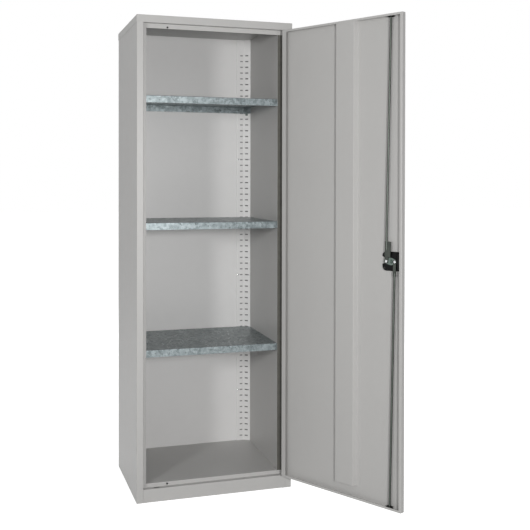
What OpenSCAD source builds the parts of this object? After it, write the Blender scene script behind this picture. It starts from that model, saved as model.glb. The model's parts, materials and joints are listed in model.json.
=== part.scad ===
// Single-door steel storage locker: folded sheet carcass, three lift-off galvanised shelves on slotted
// uprights, and a pan door on three knuckle hinges with a turn handle that drives two locking rods.
// Millimetres. X to the right, Y into the locker, Z up; the origin is on the floor under the middle of
// the carcass. The door stands open at door_open degrees and the handle is unlocked.

/* [Carcass] */
// Overall width of the carcass over the top cap
cabinet_w = 615; // [560:5:760]
// Overall depth of the carcass over the top cap
cabinet_d = 457; // [400:5:600]
// Overall height of the carcass
cabinet_h = 1830; // [1750:5:2000]
// Thickness of the painted sheet
sheet_t = 1; // [0.8:0.1:1.2]
// Inside radius of every fold
bend_r = 0.8; // [0.5:0.1:1]
// Height of the folded rim of the top cap
cap_rim = 28; // [24:1:36]
// Height of the plinth front
plinth_h = 50; // [40:1:80]
// Rise from the plinth to the floor of the locker
floor_step = 14; // [12:1:20]
// Depth of the header strip below the cap rim
header_drop = 17; // [14:1:22]
// Width of the flange folded in at the foot of the base
foot_flange = 13; // [10:1:20]

/* [Posts] */
// Width of the front face of each post
post_w = 26; // [24:1:34]
// Depth of the recess in which the closed door sits
stop_depth = 22; // [21.5:0.5:24]
// Width of the stop flange on the lock side of the opening
stop_lock = 14; // [12:1:20]
// Width of the stop flange on the hinge side of the opening
stop_hinge = 22; // [14:1:26]
// Width of the flange that holds the back panel
rear_flange = 16; // [12:1:24]

/* [Uprights] */
// Vertical pitch of the slots
slot_pitch = 25.4; // [24:0.2:28]
// Height of the first row of slots above the floor of the locker
slot_first = 20.3; // [16:0.1:24]
// Height of one slot
slot_h = 5; // [4:0.2:6]
// Length of a slot in the leg that faces the front
slot_l = 12; // [10:0.5:12.5]
// Length of a slot in the slanted leg and in the front uprights
side_slot_l = 14; // [12:0.5:15]
// Width of each slotted leg of a rear upright
leg_w = 32; // [30:1:36]
// Angle between the two slotted legs
leg_turn = 36; // [30:1:42]
// Distance from the side of the carcass to the fold between the legs
leg_inset = 64; // [58:1:68]
// Gap between the front-facing leg and the back panel
leg_stand = 4; // [3:0.5:6]
// Height of the front upright off the side wall
front_stand = 6; // [5:0.5:8]

/* [Shelves] */
// Slot row that carries the lower shelf
lower_row = 18; // [12:1:24]
// Slot row that carries the middle shelf
middle_row = 37; // [31:1:43]
// Slot row that carries the upper shelf
upper_row = 56; // [50:1:60]
// Height of the folded shelf edge
shelf_lip = 27; // [24:1:34]
// Setback of the shelf behind the front of the carcass
shelf_front = 27; // [27:1:40]
// Gap between the shelf and the uprights behind it
shelf_gap = 3; // [2.5:0.5:5]
// Thickness of the shelf sheet
shelf_t = 0.9; // [0.8:0.1:1.2]
// Thickness of a shelf clip
clip_t = 1.5; // [1.2:0.1:1.8]
// Width of a shelf clip
clip_w = 11; // [9:0.5:11.5]
// Reach of the ledge of a shelf clip
clip_ledge = 14; // [12:1:16]

/* [Door] */
// Angle at which the door stands open
door_open = 119; // [0:1:170]
// Depth of the door pan
door_t = 20; // [20:0.5:21]
// Gap at the top of the door
gap_top = 5; // [3:0.5:8]
// Gap at the foot of the door
gap_foot = 3; // [2.5:0.5:6]
// Gap on the lock side of the door
gap_lock = 2; // [1.5:0.5:4]
// Gap on the hinge side of the door, which holds the hinge leaves
gap_hinge = 3.6; // [3.2:0.2:5]
// Lip folded in on the hinge side
lip_hinge = 20; // [12:1:24]
// Lip folded in on the lock side
lip_lock = 10; // [8:1:12]
// Lip folded in at the top and the foot
lip_end = 8; // [6:1:10]
// Width of the raised face of the door stiffener
rib_w = 81; // [60:1:100]
// Distance from the lock edge of the door to the raised face
rib_inset = 210; // [180:5:260]
// Sideways run of each slanted flank of the stiffener
rib_flank = 7; // [5:0.5:12]
// Width of the flange that fixes the stiffener to the door
rib_flange = 12; // [10:1:20]
// Gap between the foot of the stiffener and the foot of the door
rib_foot = 45; // [30:1:80]

/* [Hinges] */
// Radius of the knuckles
knuckle_r = 4; // [3.6:0.1:4.6]
// Radius of the hinge pin
hinge_pin_r = 2; // [1.8:0.1:2.4]
// Height of one hinge
hinge_h = 64; // [50:1:80]
// Thickness of a hinge leaf
leaf_t = 1.2; // [1:0.1:1.3]
// Distance from the ends of the door to the end hinges
hinge_end = 190; // [150:5:300]

/* [Lock] */
// Distance from the lock edge of the door to the handle axis
lock_inset = 51; // [50:0.5:54]
// Height of the handle axis above the floor
lock_z = 927; // [850:1:1000]
// Distance of each rod pin from the handle axis, which is also the throw of a rod
throw = 18; // [17:0.5:19]
// Width of the lock housing
housing_w = 77; // [72:1:78]
// Height of the lock housing
housing_h = 68; // [64:1:76]
// Thickness of the lock housing
housing_t = 8; // [7:0.5:8]
// Radius of the locking rods
rod_r = 4; // [3.5:0.1:4.2]
// Radius of the pins that join the rods to the cam
rod_pin_r = 3; // [2.5:0.1:3.4]
// Thickness of the flattened rod ends
rod_end_t = 2.5; // [2:0.1:3]
// Thickness of the cam
cam_t = 2.5; // [2:0.1:2.5]
// Length of the turn handle
handle_l = 104; // [90:2:120]
// Radius of the handle hub
hub_r = 19; // [17:0.5:21]
// Radius of the lock barrel
barrel_r = 8; // [7:0.5:9]

/* [Hidden] */
$fn = 48;
bend_steps = 3;
cut = 1; // how far a cutting solid reaches past the face it cuts
fit = 0.07; // radial running clearance of a pin in its bore
free = 0.3; // clearance between faces that pass each other

// Carcass levels and planes
side_in = 2 * sheet_t; // inner face of a side panel, from the side of the carcass
back_in = cabinet_d - 3 * sheet_t; // front face of the back panel
corner_gap = bend_r + 0.2; // keeps the back panel out of the round inner corners of the sides
ceiling_z = cabinet_h - sheet_t;
header_z = cabinet_h - cap_rim;
floor_z = plinth_h + floor_step;
stop_b = sheet_t + stop_depth; // front face of the stop flanges
rail_b = stop_b + sheet_t; // front face of the header and floor strips, just behind the stop flanges

// Slot rows
leg_b = back_in - leg_stand; // front face of the leg that faces the front
rows = floor((cabinet_h - cap_rim - header_drop - floor_z - slot_first) / slot_pitch);
function row_z(row) = floor_z + slot_first + row * slot_pitch;
slot_edge = 4; // from the fold to the slot in the front-facing leg
side_slot_edge = 7; // from the fold to the slot in the slanted leg
rivet_edge = 24.5; // from the fold to the rivets of both legs
rivet_rows = [8, 28, 48]; // slot rows that also hold a rivet
rivet_r = 1.6;
front_slot_b = 44; // front end of the slots in the front uprights
hat_b = 34; // front wall of the front upright
hat_w = 32;
hat_flange = 8;

// Shelves
ledge_drop = 1; // from the middle of a slot down to the ledge of a clip
clip_hang = 9; // from the ledge down to the foot of a clip
clip_head = 6; // from the middle of a slot up to the head of a clip
hook_drop = 6;
front_face = side_in + front_stand; // inner face of the front uprights
shelf_side = front_face + clip_t + 1; // side edge of the shelf
shelf_back = leg_b - shelf_gap;
function shelf_z(row) = row_z(row) - ledge_drop + shelf_lip;

// Door, in the place it has when closed
door_l = post_w + gap_lock;
door_r = cabinet_w - post_w - gap_hinge;
door_b = sheet_t; // outer face, flush with the posts
door_in = door_b + door_t; // inner face of the lips
pan_b = door_b + sheet_t; // inner face of the door sheet
door_z = plinth_h + gap_foot;
door_top = header_z - gap_top;
pin_a = cabinet_w - post_w - gap_hinge / 2;
pin_b = door_b - knuckle_r;
hinge_zs = [door_z + hinge_end, (door_z + door_top) / 2, door_top - hinge_end];
knuckle_gap = 0.4;
leaf_w = 15;
pin_head = 1.2;

// Lock stack, as distances from the front of the carcass
lock_a = door_l + lock_inset;
housing_b = pan_b + housing_t;
cam_b = housing_b + 1;
cam_front = cam_b + cam_t;
washer_t = 0.6;
cam_end_r = 8.5;
screw_x = housing_w / 2 - 10.5; // housing screws, from the handle axis
screw_z = housing_h / 2 - 10;
screw_r = 2;
rod_end_b = cam_front + free;
rod_b = rod_end_b + rod_end_t / 2; // axis of both rods
spindle_r = 5;
square = 8; // across the flats of the spindle end
thread_r = 4; // threaded tip of the spindle
guide_w = 21;
guide_h = 11;
guide_slot = 17;
guide_b = rod_b - rod_r - 2; // outer face of the rod guides
catch_w = 24; // slots in the header, the plinth and the door ends that take the rods
catch_d = 2 * rod_r + 1.6;
keeper_end = lock_a + catch_w / 2 + 8; // where the rod keeper meets the header rail
rod_stub = 1; // how far an unlocked rod reaches past the door
rod_guide_z = door_top - sheet_t - guide_h / 2;
rod_foot_z = door_z + sheet_t + guide_h / 2;
upper_tilt = asin(throw / (rod_guide_z - lock_z));
lower_tilt = asin(throw / (lock_z - rod_foot_z));
plate_w = 24;
plate_top = 70;
eye_r = 8;
neck = 40; // from the pin to the start of the round rod
pin_flange = 1.2;

// Handle stack, outside the door
rose_t = 5;
rose_r = 27;
rose_b = door_b - rose_t;
hub_h = 16;
hub_back = rose_b - free;
hub_front = hub_back - hub_h;
wing_t = 11;
wing_end_r = 8;
barrel_h = 14;
barrel_proud = 0.8;

// Shared frames and shapes

module in_carcass() {
    translate([-cabinet_w / 2, -cabinet_d / 2, 0]) children();
}

// Carries what is drawn in the closed place of the door to the place it has when open
module on_door() {
    in_carcass() translate([pin_a, pin_b, 0]) rotate(door_open) translate([-pin_a, -pin_b, 0]) children();
}

// Turns a profile drawn in depth and height to run along the width
module along_width(from, to) {
    translate([from, 0, 0]) rotate([90, 0, 90]) linear_extrude(height = to - from) children();
}

// A solid of revolution or an outline drawn in XY, set on the depth axis so that its height runs outwards
module facing_front(a, b, z) {
    translate([a, b, z]) rotate([90, 0, 0]) children();
}

// The same, with its height running into the locker
module facing_back(a, b, z) {
    translate([a, b, z]) rotate([-90, 0, 0]) children();
}

// A drawing of the left-hand piece becomes the right-hand one
module to_right() {
    translate([cabinet_w, 0, 0]) mirror([1, 0, 0]) children();
}

function unit(v) = v / norm(v);
function left_of(d) = [-d[1], d[0]];
function turn_of(d, e) = atan2(d[0] * e[1] - d[1] * e[0], d[0] * e[0] + d[1] * e[1]);
function spun(v, angle) = [v[0] * cos(angle) - v[1] * sin(angle), v[0] * sin(angle) + v[1] * cos(angle)];
function reversed(v) = [for (i = [len(v) - 1:-1:0]) v[i]];

// One face of a fold: an arc round the centre that both faces of the sheet share
function fold_arc(path, i, t, far_side) =
    let (
        d = unit(path[i] - path[i - 1]),
        e = unit(path[i + 1] - path[i]),
        angle = turn_of(d, e),
        s = sign(angle),
        near_r = s > 0 ? bend_r + t : bend_r,
        far_r = s > 0 ? bend_r : bend_r + t,
        start = path[i] - d * near_r * tan(abs(angle) / 2),
        centre = start + s * near_r * left_of(d),
        r = far_side ? far_r : near_r
    )
    [for (k = [0:bend_steps]) centre + spun(-s * r * left_of(d), angle * k / bend_steps)];

function sheet_face(path, t, far_side) =
    let (
        last = len(path) - 1,
        lift = far_side ? t : 0
    )
    concat(
        [path[0] + lift * left_of(unit(path[1] - path[0]))],
        [for (i = [1:last - 1]) each fold_arc(path, i, t, far_side)],
        [path[last] + lift * left_of(unit(path[last] - path[last - 1]))]
    );

// Section of a sheet folded along a path; the sheet lies to the left of the path
module folded(path, t = sheet_t) {
    polygon(concat(sheet_face(path, t, false), reversed(sheet_face(path, t, true))));
}

// Box outline with two rounded top corners
module arch(w, h, r) {
    steps = 4;
    polygon(concat(
        [[0, 0], [w, 0]],
        [for (k = [0:steps]) [w - r + r * cos(90 * k / steps), h - r + r * sin(90 * k / steps)]],
        [for (k = [0:steps]) [r - r * sin(90 * k / steps), h - r + r * cos(90 * k / steps)]]
    ));
}

// Box with its four top edges rounded
module crowned(w, d, h, r) {
    intersection() {
        translate([0, d, 0]) rotate([90, 0, 0]) linear_extrude(height = d) arch(w, h, r);
        rotate([90, 0, 90]) linear_extrude(height = w) arch(d, h, r);
    }
}

// Centred plate outline with rounded corners
module rounded_plate(w, h, r) {
    square([w - 2 * r, h], center = true);
    square([w, h - 2 * r], center = true);
    for (x = [-1, 1], y = [-1, 1]) translate([x * (w / 2 - r), y * (h / 2 - r)]) circle(r);
}

// Centred straight slot outline along X, with round ends
module slot_shape(l, h) {
    square([l - h, h], center = true);
    for (x = [-1, 1]) translate([x * (l - h) / 2, 0]) circle(h / 2);
}

// Outline of a plate with a round middle and two smaller round ends, drawn as one row of points
module oval_plate(r1, r2, reach) {
    lean = acos((r1 - r2) / reach);
    steps = 12;
    span = 180 - 2 * lean;
    end_arc = [for (k = [0:steps]) [reach, 0] + spun([r2, 0], lean - 2 * lean * k / steps)];
    side_arc = [for (k = [0:steps]) spun([r1, 0], -lean - span * k / steps)];
    half = concat(end_arc, side_arc);
    polygon(concat(half, [for (p = half) -p]));
}

// Outline of two circles joined by their outer tangents
module tapered_link(r1, r2, reach) {
    lean = acos((r1 - r2) / reach);
    circle(r1);
    translate([reach, 0]) circle(r2);
    polygon([
        r1 * [cos(lean), sin(lean)], [reach + r2 * cos(lean), r2 * sin(lean)],
        [reach + r2 * cos(lean), -r2 * sin(lean)], r1 * [cos(lean), -sin(lean)]
    ]);
}

// Carcass

module top_cap() {
    color("gainsboro") in_carcass() translate([0, 0, header_z]) difference() {
        crowned(cabinet_w, cabinet_d, cap_rim, bend_r + sheet_t);
        translate([sheet_t, sheet_t, -cut])
            cube([cabinet_w - 2 * sheet_t, cabinet_d - 2 * sheet_t, cap_rim - sheet_t + cut]);
    }
}

// Side, front post with its stop flange, and rear flange, folded from one sheet
module side_panel(stop_w) {
    rear = cabinet_d - sheet_t;
    linear_extrude(height = ceiling_z) folded([
        [sheet_t + rear_flange, rear], [sheet_t, rear], [sheet_t, sheet_t],
        [post_w, sheet_t], [post_w, stop_b], [post_w + stop_w, stop_b]
    ]);
}

module left_side_panel() {
    color("lightgray") in_carcass() side_panel(stop_lock);
}

module right_side_panel() {
    color("lightgray") in_carcass() to_right() side_panel(stop_hinge);
}

module back_panel() {
    edge = side_in + corner_gap;
    color("gainsboro") in_carcass() translate([edge, back_in, 0]) cube([cabinet_w - 2 * edge, sheet_t, ceiling_z]);
}

// Clears the posts and their stop flanges out of a rail that runs across the front
module post_notches(bottom, top) {
    for (side = [0, 1]) translate([side * cabinet_w, 0, bottom]) mirror([side, 0, 0]) {
        stop_in = post_w + (side == 0 ? stop_lock : stop_hinge) + free;
        translate([-cut, -cut, 0]) cube([post_w + cut, rail_b + cut, top - bottom]);
        translate([-cut, stop_b - free, 0]) cube([stop_in + cut, rail_b - stop_b + free, top - bottom]);
    }
}

module rod_catch(z) {
    translate([lock_a, rod_b, z]) linear_extrude(height = sheet_t + 2 * cut, center = true)
        slot_shape(catch_w, catch_d);
}

// Floor, plinth and the skirts that stand on the ground, with a flange folded in all round
module base_pan() {
    inner_r = cabinet_w - side_in;
    color("gainsboro") in_carcass() difference() {
        union() {
            along_width(side_in, inner_r) folded([
                [back_in - foot_flange, 0], [back_in, 0], [back_in, floor_z], [rail_b, floor_z],
                [rail_b, plinth_h], [sheet_t, plinth_h], [sheet_t, 0], [sheet_t + foot_flange, 0]
            ]);
            for (side = [0, 1]) translate([side * cabinet_w, 0, 0]) mirror([side, 0, 0]) {
                translate([side_in, rail_b, 0]) cube([sheet_t, back_in - rail_b, floor_z - sheet_t / 2]);
                translate([side_in, rail_b, 0]) cube([foot_flange, back_in - rail_b - sheet_t / 2, sheet_t]);
                translate([post_w, sheet_t, 0]) cube([foot_flange, stop_b - free - sheet_t, sheet_t]);
            }
        }
        post_notches(-cut, floor_z + cut);
        rod_catch(plinth_h - sheet_t / 2);
    }
}

// Angle that closes the top of the door opening, from one place along the width to another
module header_angle(from, to) {
    difference() {
        along_width(from, to) folded([
            [sheet_t, header_z], [rail_b, header_z], [rail_b, header_z - header_drop]
        ]);
        post_notches(header_z - header_drop - cut, header_z + sheet_t + cut);
    }
}

// Angle rail welded into the rim of the cap
module header_rail() {
    color("gainsboro") in_carcass() header_angle(keeper_end, cabinet_w - side_in);
}

// Short length of the same angle on the lock side, with the slot that catches the upper rod
module rod_keeper() {
    color("gainsboro") in_carcass() difference() {
        header_angle(side_in, keeper_end);
        rod_catch(header_z + sheet_t / 2);
    }
}

// Uprights

// Places a drawing on the slanted leg: X runs from the fold towards the side wall, Y into the locker
module on_slanted_leg() {
    translate([leg_inset, leg_b, 0]) mirror([1, 0, 0]) rotate(-leg_turn) children();
}

module slot_column(l, first) {
    for (row = [0:rows]) translate([first, -cut, row_z(row) - slot_h / 2]) cube([l, sheet_t + 3 * cut, slot_h]);
}

module rivet_holes(r) {
    for (row = rivet_rows) {
        facing_back(leg_inset + rivet_edge, leg_b - cut, row_z(row)) cylinder(r = r, h = sheet_t + 2 * cut);
        on_slanted_leg() facing_back(rivet_edge, -cut, row_z(row)) cylinder(r = r, h = sheet_t + 2 * cut);
    }
}

module rear_upright() {
    leg_end = [leg_inset - leg_w * cos(leg_turn), leg_b - leg_w * sin(leg_turn)];
    wall_tab = 12;
    difference() {
        translate([0, 0, floor_z]) linear_extrude(height = ceiling_z - floor_z) folded([
            [side_in, leg_end[1] + wall_tab], [side_in, leg_end[1]], leg_end, [leg_inset, leg_b],
            [leg_inset + leg_w, leg_b], [leg_inset + leg_w, back_in]
        ]);
        translate([leg_inset + slot_edge, leg_b, 0]) slot_column(slot_l, 0);
        on_slanted_leg() slot_column(side_slot_l, side_slot_edge);
        rivet_holes(rivet_r + free / 3);
    }
}

module left_rear_upright() {
    color("white") in_carcass() rear_upright();
}

module right_rear_upright() {
    color("white") in_carcass() to_right() rear_upright();
}

module front_upright() {
    crest = side_in + front_stand - sheet_t;
    difference() {
        translate([0, 0, floor_z]) linear_extrude(height = ceiling_z - floor_z) folded([
            [side_in, hat_b + hat_w + hat_flange], [side_in, hat_b + hat_w], [crest, hat_b + hat_w],
            [crest, hat_b], [side_in, hat_b], [side_in, hat_b - hat_flange]
        ]);
        for (row = [0:rows]) translate([crest - cut, front_slot_b, row_z(row) - slot_h / 2])
            cube([sheet_t + 2 * cut, side_slot_l, slot_h]);
    }
}

module left_front_upright() {
    color("white") in_carcass() front_upright();
}

module right_front_upright() {
    color("white") in_carcass() to_right() front_upright();
}

// Domed head on the face of the leg, with the shank through it
module rivet(shank) {
    head_r = 3.2;
    head_h = 1.3;
    rotate_extrude() polygon(concat(
        [[0, -shank], [rivet_r, -shank], [rivet_r, 0]],
        [for (k = [0:4]) [head_r * cos(90 * k / 4), head_h * sin(90 * k / 4)]]
    ));
}

module upright_rivets() {
    color("silver") in_carcass() for (side = [0, 1]) translate([side * cabinet_w, 0, 0]) mirror([side, 0, 0])
        for (row = rivet_rows) {
            facing_front(leg_inset + rivet_edge, leg_b, row_z(row)) rivet(leg_stand);
            on_slanted_leg() facing_front(rivet_edge, 0, row_z(row)) rivet(sheet_t + 1);
        }
}

// Shelves

// Shelf outline, drawn inwards by inset from the real edge, with the rear corners cut along the uprights
module shelf_outline(inset) {
    left = shelf_side + inset;
    right = cabinet_w - left;
    front = shelf_front + inset;
    back = shelf_back - inset;
    normal = [sin(leg_turn), -cos(leg_turn)];
    on_cut = [leg_inset, leg_b] + (shelf_gap + inset) * normal;
    cut_a = on_cut[0] + (back - on_cut[1]) / tan(leg_turn);
    cut_b = on_cut[1] + (left - on_cut[0]) * tan(leg_turn);
    polygon([
        [left, front], [right, front], [right, cut_b], [cabinet_w - cut_a, back], [cut_a, back], [left, cut_b]
    ]);
}

module shelf(row) {
    hem = 12;
    color("lightsteelblue") in_carcass() translate([0, 0, shelf_z(row) - shelf_lip]) {
        difference() {
            intersection() {
                linear_extrude(height = shelf_lip) shelf_outline(0);
                translate([shelf_side, shelf_front, 0])
                    crowned(cabinet_w - 2 * shelf_side, cabinet_d, shelf_lip, bend_r + shelf_t);
            }
            translate([0, 0, -cut]) linear_extrude(height = shelf_lip - shelf_t + cut) shelf_outline(shelf_t);
        }
        translate([shelf_side + shelf_t + 20, shelf_front + shelf_t / 2, 0])
            cube([cabinet_w - 2 * (shelf_side + shelf_t + 20), hem, shelf_t]);
    }
}

module upper_shelf() {
    shelf(upper_row);
}

module middle_shelf() {
    shelf(middle_row);
}

module lower_shelf() {
    shelf(lower_row);
}

// Clip on the YZ plane of a slotted face: X runs along the slot, Y into the locker, Z from the slot's middle
module shelf_clip(slot_start, slot_len) {
    tab_h = slot_h - 1;
    translate([slot_start + (slot_len - clip_w) / 2, 0, 0]) {
        translate([0, -clip_t, -ledge_drop - clip_hang])
            cube([clip_w, clip_t, clip_hang + ledge_drop + clip_head]);
        translate([0, -clip_ledge, -ledge_drop - clip_t]) cube([clip_w, clip_ledge, clip_t]);
        translate([0, -clip_t / 2, -tab_h / 2]) cube([clip_w, clip_t / 2 + sheet_t + clip_t, tab_h]);
        translate([0, sheet_t + free / 2, -tab_h / 2 - hook_drop])
            cube([clip_w, clip_t, hook_drop + tab_h]);
    }
}

module shelf_clips(row) {
    color("silver") in_carcass() for (side = [0, 1]) translate([side * cabinet_w, 0, 0]) mirror([side, 0, 0])
        translate([0, 0, row_z(row)]) {
            on_slanted_leg() shelf_clip(side_slot_edge, side_slot_l);
            translate([front_face, 0, 0]) rotate(90) shelf_clip(front_slot_b, side_slot_l);
        }
}

module upper_shelf_clips() {
    shelf_clips(upper_row);
}

module middle_shelf_clips() {
    shelf_clips(middle_row);
}

module lower_shelf_clips() {
    shelf_clips(lower_row);
}

module door_buffers() {
    buffer_a = 121;
    buffer_r = 3.5;
    buffer_t = rail_b - door_in - free;
    color("dimgray") in_carcass() for (z = [floor_z - floor_step / 2, header_z - header_drop / 2 - 3.5])
        facing_front(buffer_a, rail_b, z) rotate_extrude() polygon([
            [0, 0], [buffer_r, 0], [buffer_r, buffer_t - 0.8], [buffer_r - 0.8, buffer_t], [0, buffer_t]
        ]);
}

// Hinges

// Knuckles of one side of the hinge: every second length of the barrel
module knuckles(first) {
    seg = (hinge_h - 4 * knuckle_gap) / 5;
    for (i = [first:2:4]) translate([pin_a, pin_b, i * (seg + knuckle_gap)]) difference() {
        cylinder(r = knuckle_r, h = seg);
        translate([0, 0, -cut]) cylinder(r = hinge_pin_r + fit, h = seg + 2 * cut);
    }
}

// Leaf with its tongues, which reach the knuckles of its own side only
module hinge_leaf(face_a, first) {
    seg = (hinge_h - 4 * knuckle_gap) / 5;
    difference() {
        union() {
            translate([face_a, door_b, 0]) cube([leaf_t, leaf_w, hinge_h]);
            for (i = [first:2:4]) translate([face_a, pin_b, i * (seg + knuckle_gap)])
                cube([leaf_t, knuckle_r + 2, seg]);
        }
        translate([pin_a, pin_b, -cut]) cylinder(r = knuckle_r - 1, h = hinge_h + 2 * cut);
        for (i = [1 - first:2:4]) translate([pin_a, pin_b, i * (seg + knuckle_gap) - knuckle_gap])
            cylinder(r = knuckle_r + free, h = seg + 2 * knuckle_gap);
    }
}

module hinge_frame_leaves() {
    color("silver") in_carcass() for (z = hinge_zs) translate([0, 0, z - hinge_h / 2]) {
        knuckles(0);
        hinge_leaf(cabinet_w - post_w - leaf_t, 0);
    }
}

module hinge_door_leaves() {
    color("silver") on_door() for (z = hinge_zs) translate([0, 0, z - hinge_h / 2]) {
        knuckles(1);
        hinge_leaf(door_r, 1);
    }
}

module hinge_pins() {
    color("silver") in_carcass() for (z = hinge_zs) translate([pin_a, pin_b, z - hinge_h / 2]) {
        translate([0, 0, -pin_head]) cylinder(r = hinge_pin_r, h = hinge_h + 2 * pin_head);
        for (end = [-pin_head, hinge_h]) translate([0, 0, end]) cylinder(r = knuckle_r - 0.6, h = pin_head);
    }
}

// Door

module door_skin() {
    inner_l = door_l + sheet_t / 2;
    inner_w = door_r - door_l - sheet_t;
    lip_l = door_l + lip_lock - 1;
    lip_w = door_r - lip_hinge + 1 - lip_l;
    color("lightgray") on_door() difference() {
        union() {
            translate([0, 0, door_z]) linear_extrude(height = door_top - door_z) folded([
                [door_l + lip_lock, door_in], [door_l, door_in], [door_l, door_b],
                [door_r, door_b], [door_r, door_in], [door_r - lip_hinge, door_in]
            ]);
            for (z = [door_z, door_top - sheet_t]) translate([inner_l, door_b + sheet_t / 2, z])
                cube([inner_w, door_t - sheet_t, sheet_t]);
            for (z = [door_z, door_top - lip_end]) translate([lip_l, door_in - sheet_t, z])
                cube([lip_w, sheet_t, lip_end]);
        }
        for (z = [door_z + sheet_t / 2, door_top - sheet_t / 2]) rod_catch(z);
        facing_front(lock_a, pan_b + cut, lock_z) cylinder(r = spindle_r + 1, h = sheet_t + 2 * cut);
    }
}

module door_stiffener() {
    a0 = door_l + rib_inset;
    a1 = a0 + rib_w;
    crest = door_in - 2 * sheet_t;
    color("lightgray") on_door() translate([0, 0, door_z + rib_foot])
        linear_extrude(height = door_top - sheet_t - door_z - rib_foot) folded([
            [a0 - rib_flank - rib_flange, pan_b], [a0 - rib_flank, pan_b], [a0, crest],
            [a1, crest], [a1 + rib_flank, pan_b], [a1 + rib_flank + rib_flange, pan_b]
        ]);
}

// Slotted plastic block that a rod slides through, drawn as it stands at the top of the door: its head
// meets the end wall and its foot has a nose that comes forward below the end lip
module rod_guide() {
    nose_h = guide_h - (lip_end - sheet_t) - free;
    difference() {
        translate([-guide_w / 2, guide_b, 0]) {
            cube([guide_w, door_in - sheet_t - guide_b, guide_h]);
            cube([guide_w, door_in - guide_b, nose_h]);
        }
        translate([0, rod_b, -cut]) linear_extrude(height = guide_h + 2 * cut)
            slot_shape(guide_slot, 2 * (rod_r + free));
    }
}

module top_rod_guide() {
    color("dimgray") on_door() translate([lock_a, 0, door_top - sheet_t - guide_h]) rod_guide();
}

module bottom_rod_guide() {
    color("dimgray") on_door() translate([lock_a, 0, door_z + sheet_t + guide_h]) mirror([0, 0, 1]) rod_guide();
}

// Lock

// Stepped plate round the lock, with a raised wall on the side of the free edge
module lock_housing() {
    corner_r = 16;
    step_in = 2.5;
    wall_rise = 8;
    wall_in = throw + cam_end_r + 1;
    color("dimgray") on_door() difference() {
        facing_back(lock_a, pan_b, lock_z) {
            linear_extrude(height = housing_t - 1.5) rounded_plate(housing_w, housing_h, corner_r);
            linear_extrude(height = housing_t) housing_step(corner_r, step_in);
            linear_extrude(height = housing_t + wall_rise) intersection() {
                housing_step(corner_r, step_in);
                translate([-housing_w, -housing_h]) square([housing_w - wall_in, 2 * housing_h]);
            }
        }
        facing_back(lock_a, pan_b - cut, lock_z) cylinder(r = spindle_r + fit, h = housing_t + 2 * cut);
        for (z = [-1, 1]) facing_back(lock_a + screw_x, pan_b - cut, lock_z + z * screw_z)
            cylinder(r = screw_r + 0.2, h = housing_t + 2 * cut);
    }
}

module housing_step(corner_r, step_in) {
    rounded_plate(housing_w - 2 * step_in, housing_h - 2 * step_in, corner_r - step_in);
}

// Pan-head screws with a slot across the head
module housing_screws() {
    head_r = 4;
    head_h = 2.4;
    color("dimgray") on_door() for (z = [-1, 1])
        facing_back(lock_a + screw_x, pan_b, lock_z + z * screw_z) difference() {
            union() {
                cylinder(r = screw_r, h = housing_t);
                translate([0, 0, housing_t]) rotate_extrude() polygon([
                    [0, 0], [head_r, 0], [head_r, head_h - 1], [head_r - 1, head_h], [0, head_h]
                ]);
            }
            translate([-head_r - cut, -0.5, housing_t + head_h - 1.2]) cube([2 * (head_r + cut), 1, 2]);
        }
}

module handle_rose() {
    color("dimgray") on_door() facing_front(lock_a, door_b, lock_z) rotate_extrude() polygon([
        [spindle_r + free, 0], [rose_r, 0], [rose_r, rose_t - 3], [rose_r - 1, rose_t - 1],
        [rose_r - 3, rose_t], [spindle_r + free, rose_t]
    ]);
}

// Hub with two tapered wings; the bore for the barrel opens at its front
module handle_grip() {
    wing_back = 4;
    color("dimgray") on_door() facing_front(lock_a, hub_back, lock_z) difference() {
        union() {
            rotate_extrude() polygon(concat(
                [[0, 0], [hub_r, 0]],
                [for (k = [0:4]) [hub_r - 2.5 + 2.5 * cos(90 * k / 4), hub_h - 2.5 + 2.5 * sin(90 * k / 4)]],
                [[0, hub_h]]
            ));
            for (side = [90, 270]) rotate(side) {
                translate([0, 0, wing_back]) linear_extrude(height = wing_t - 1.5)
                    tapered_link(hub_r - 3, wing_end_r, handle_l / 2 - wing_end_r);
                translate([0, 0, wing_back + 1.5]) linear_extrude(height = wing_t - 3)
                    tapered_link(hub_r - 1.5, wing_end_r + 1.2, handle_l / 2 - wing_end_r - 1.2);
            }
        }
        translate([0, 0, hub_h - barrel_h]) cylinder(r = barrel_r + fit, h = barrel_h + cut);
    }
}

// Round through the door and the housing, square in the cam, threaded beyond it
module handle_spindle() {
    thread_l = 7.5;
    reach = cam_b - hub_back;
    color("silver") on_door() facing_back(lock_a, hub_back, lock_z) {
        cylinder(r = spindle_r, h = reach);
        translate([-square / 2, -square / 2, reach - cut / 2]) cube([square, square, cam_t + cut / 2]);
        translate([0, 0, reach + cam_t - cut]) cylinder(r = thread_r, h = cut + thread_l);
    }
}

// Oval plate with a square hole for the spindle and a pin hole at each end
module lock_cam() {
    cam_r = 13;
    color("silver") on_door() facing_back(lock_a, cam_b, lock_z) linear_extrude(height = cam_t) difference() {
        oval_plate(cam_r, cam_end_r, throw);
        square(square + 2 * fit, center = true);
        for (x = [-throw, throw]) translate([x, 0]) circle(rod_pin_r + fit);
    }
}

module cam_nut() {
    nut_h = 4;
    flats = 13;
    color("silver") on_door() facing_back(lock_a, cam_front, lock_z) difference() {
        union() {
            cylinder(r = 8, h = washer_t);
            translate([0, 0, washer_t]) cylinder(r = flats / 2 / cos(30), h = nut_h, $fn = 6);
        }
        translate([0, 0, -cut]) cylinder(r = thread_r + fit, h = nut_h + washer_t + 2 * cut);
    }
}

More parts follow.
